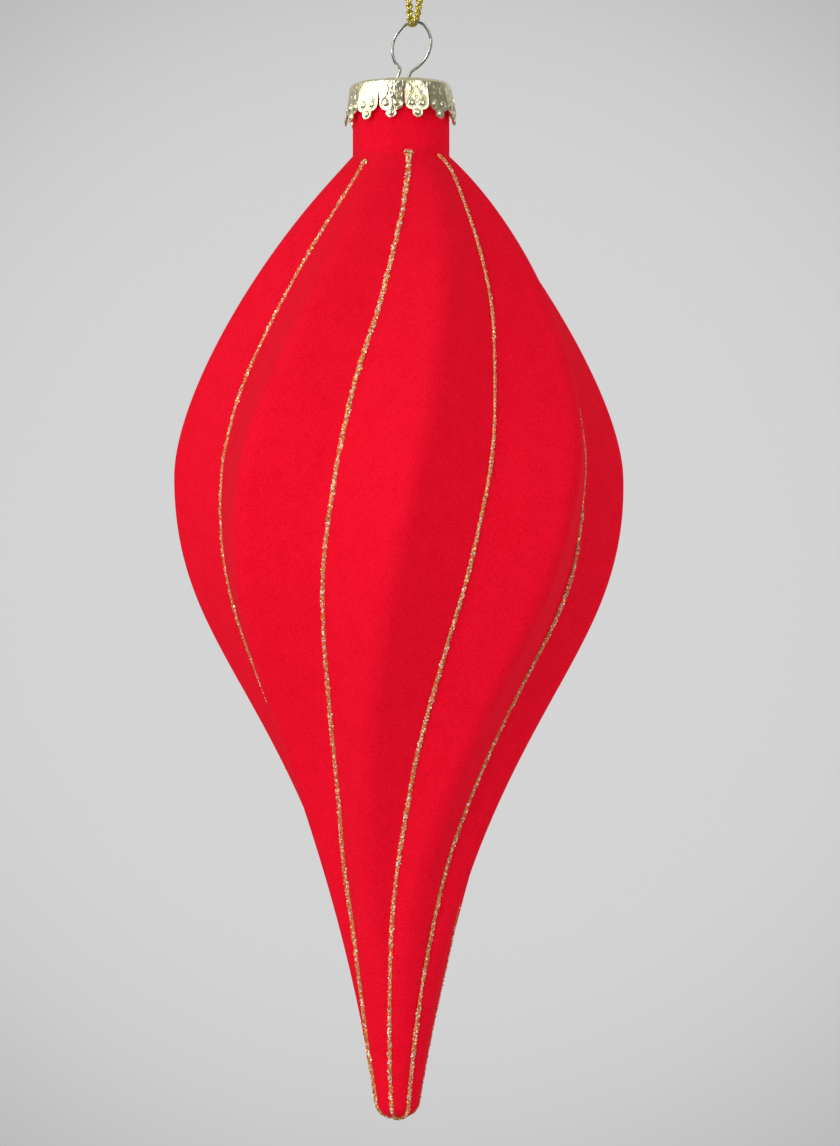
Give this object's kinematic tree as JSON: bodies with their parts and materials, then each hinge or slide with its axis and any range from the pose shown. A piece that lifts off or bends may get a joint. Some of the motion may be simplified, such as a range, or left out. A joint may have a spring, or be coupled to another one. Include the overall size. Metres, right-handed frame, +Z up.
{
  "type": "finial ornament",
  "caption": "Hanging finial ornament: blown glass drop with twisted lobes and a long spire, flocked, with glitter lines, a crown cap, a spring wire hanger and a looped cord.",
  "frame": {"origin": "inside top of the wire ring, where the cord bears and the ornament hangs", "axes": "+Z up along the ornament's length; the pictured front faces -Y; +X to the right of it, and the wire ring lies in the XZ plane"},
  "size_m": [0.0826, 0.0826, 0.233],
  "materials": {
    "red_flock": "matt flock on blown glass",
    "glitter": "copper and gold glitter set in glue",
    "cap_metal": "bright stamped sheet metal, pale gold",
    "wire": "bright drawn wire",
    "cord": "twisted metallic thread, gold"
  },
  "bodies": {
    "root": {"body": "red_flock", "glitter_line_1": "glitter", "glitter_line_2": "glitter", "glitter_line_3": "glitter", "glitter_line_4": "glitter", "glitter_line_5": "glitter", "glitter_line_6": "glitter", "glitter_line_7": "glitter", "glitter_line_8": "glitter", "glitter_tip": "glitter", "cap": "cap_metal", "hanger_wire": "wire", "hanging_cord": "cord", "cord_knot": "cord"}
  },
  "joints": []
}
